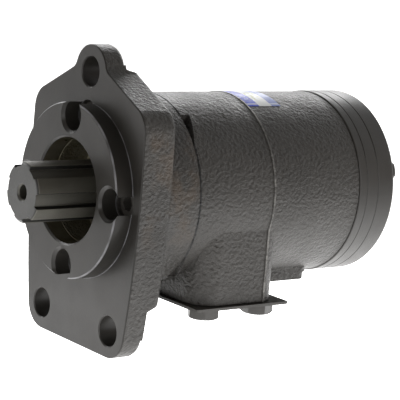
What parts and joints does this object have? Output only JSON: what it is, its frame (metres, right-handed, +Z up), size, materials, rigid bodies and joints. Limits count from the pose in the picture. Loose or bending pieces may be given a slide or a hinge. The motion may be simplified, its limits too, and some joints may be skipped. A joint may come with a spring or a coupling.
{
  "type": "hydraulic motor",
  "caption": "Orbit hydraulic motor with bolted pilot flange, splined shaft, cast housing with side port block, roller gear set and coupled moving parts.",
  "frame": {"origin": "centre of the pilot spigot, in the plane of the flange's mounting face", "axes": "+X out of the motor along its output shaft, +Z up with the flange's single top ear up, ports facing down"},
  "size_m": [0.2398, 0.116, 0.1746],
  "materials": {
    "flange_paint": "satin black-grey paint on machined and cast iron",
    "housing_paint": "satin black-grey paint on rough cast iron",
    "pack_paint": "thin satin paint over fine turning marks",
    "shaft_steel": "dark phosphated steel",
    "ground_steel": "ground bright steel",
    "bolt_black": "painted over hexagon and socket screws",
    "washer_steel": "dull plated steel",
    "bronze": "plain bearing bronze",
    "copper": "soft copper sealing ring",
    "rubber_black": "black nitrile rubber",
    "cover_plate_paint": "painted sheet steel",
    "label_print": "printed film label"
  },
  "bodies": {
    "casing": {"mounting_flange": "flange_paint", "main_housing": "housing_paint", "distributor_plate": "pack_paint", "roller_ring": "pack_paint", "end_cover": "pack_paint", "shaft_seal": "rubber_black", "seal_backup_washer": "washer_steel", "seal_snap_ring": "washer_steel", "front_bush": "bronze", "front_thrust_washer": "ground_steel", "rear_thrust_washer": "ground_steel", "flange_o_ring": "rubber_black", "housing_o_ring": "rubber_black", "plate_o_ring": "rubber_black", "cover_o_ring": "rubber_black", "flange_screws": "bolt_black", "cover_bolts": "bolt_black", "cover_bolt_washers": "washer_steel", "port_cover_plate": "cover_plate_paint", "port_o_rings": "rubber_black", "port_cover_bolts": "bolt_black", "drain_plug": "washer_steel", "drain_plug_washer": "copper", "name_label": "label_print"},
    "shaft": {"output_shaft": "shaft_steel"},
    "orbiting_spacer": {"drive_spacer": "ground_steel"},
    "star": {"star_rotor": "ground_steel"},
    "link": {"drive_link": "ground_steel"},
    "needle_cage": {"thrust_needle_cage": "ground_steel"},
    "roller_1": {"roller_1": "ground_steel"},
    "roller_2": {"roller_2": "ground_steel"},
    "roller_3": {"roller_3": "ground_steel"},
    "roller_4": {"roller_4": "ground_steel"},
    "roller_5": {"roller_5": "ground_steel"},
    "roller_6": {"roller_6": "ground_steel"},
    "roller_7": {"roller_7": "ground_steel"}
  },
  "joints": [
    {"name": "output_spin", "type": "hinge", "parent": "casing", "child": "shaft", "pos_m": [0, 0, 0], "axis": [1, 0, 0], "continuous": true},
    {"name": "rotor_orbit", "type": "hinge", "parent": "casing", "child": "orbiting_spacer", "pos_m": [-0.178, 0, 0], "axis": [1, 0, 0], "continuous": true},
    {"name": "rotor_spin", "type": "hinge", "parent": "orbiting_spacer", "child": "star", "pos_m": [-0.1749, -0.00224, -0.002], "axis": [1, 0, 0], "continuous": true},
    {"name": "link_spin", "type": "hinge", "parent": "orbiting_spacer", "child": "link", "pos_m": [-0.072, 0, 0], "axis": [0.9996, 0.0221, 0.0197], "continuous": true},
    {"name": "cage_spin", "type": "hinge", "parent": "casing", "child": "needle_cage", "pos_m": [-0.04127, 0, 0], "axis": [1, 0, 0], "continuous": true},
    {"name": "roller_1_spin", "type": "hinge", "parent": "casing", "child": "roller_1", "pos_m": [-0.1749, 0.02799, 0.02495], "axis": [1, 0, 0], "continuous": true},
    {"name": "roller_2_spin", "type": "hinge", "parent": "casing", "child": "roller_2", "pos_m": [-0.1749, -0.00206, 0.03744], "axis": [1, 0, 0], "continuous": true},
    {"name": "roller_3_spin", "type": "hinge", "parent": "casing", "child": "roller_3", "pos_m": [-0.1749, -0.03056, 0.02174], "axis": [1, 0, 0], "continuous": true},
    {"name": "roller_4_spin", "type": "hinge", "parent": "casing", "child": "roller_4", "pos_m": [-0.1749, -0.03605, -0.01034], "axis": [1, 0, 0], "continuous": true},
    {"name": "roller_5_spin", "type": "hinge", "parent": "casing", "child": "roller_5", "pos_m": [-0.1749, -0.01439, -0.03463], "axis": [1, 0, 0], "continuous": true},
    {"name": "roller_6_spin", "type": "hinge", "parent": "casing", "child": "roller_6", "pos_m": [-0.1749, 0.0181, -0.03284], "axis": [1, 0, 0], "continuous": true},
    {"name": "roller_7_spin", "type": "hinge", "parent": "casing", "child": "roller_7", "pos_m": [-0.1749, 0.03696, -0.00633], "axis": [1, 0, 0], "continuous": true}
  ],
  "couplings": [
    {"joint": "rotor_orbit", "follows": "output_spin", "ratio": -6},
    {"joint": "rotor_spin", "follows": "output_spin", "ratio": 7},
    {"joint": "link_spin", "follows": "output_spin", "ratio": 7},
    {"joint": "cage_spin", "follows": "output_spin", "ratio": 0.5},
    {"joint": "roller_1_spin", "follows": "output_spin", "ratio": -3.7},
    {"joint": "roller_2_spin", "follows": "output_spin", "ratio": -3.7},
    {"joint": "roller_3_spin", "follows": "output_spin", "ratio": -3.7},
    {"joint": "roller_4_spin", "follows": "output_spin", "ratio": -3.7},
    {"joint": "roller_5_spin", "follows": "output_spin", "ratio": -3.7},
    {"joint": "roller_6_spin", "follows": "output_spin", "ratio": -3.7},
    {"joint": "roller_7_spin", "follows": "output_spin", "ratio": -3.7}
  ]
}
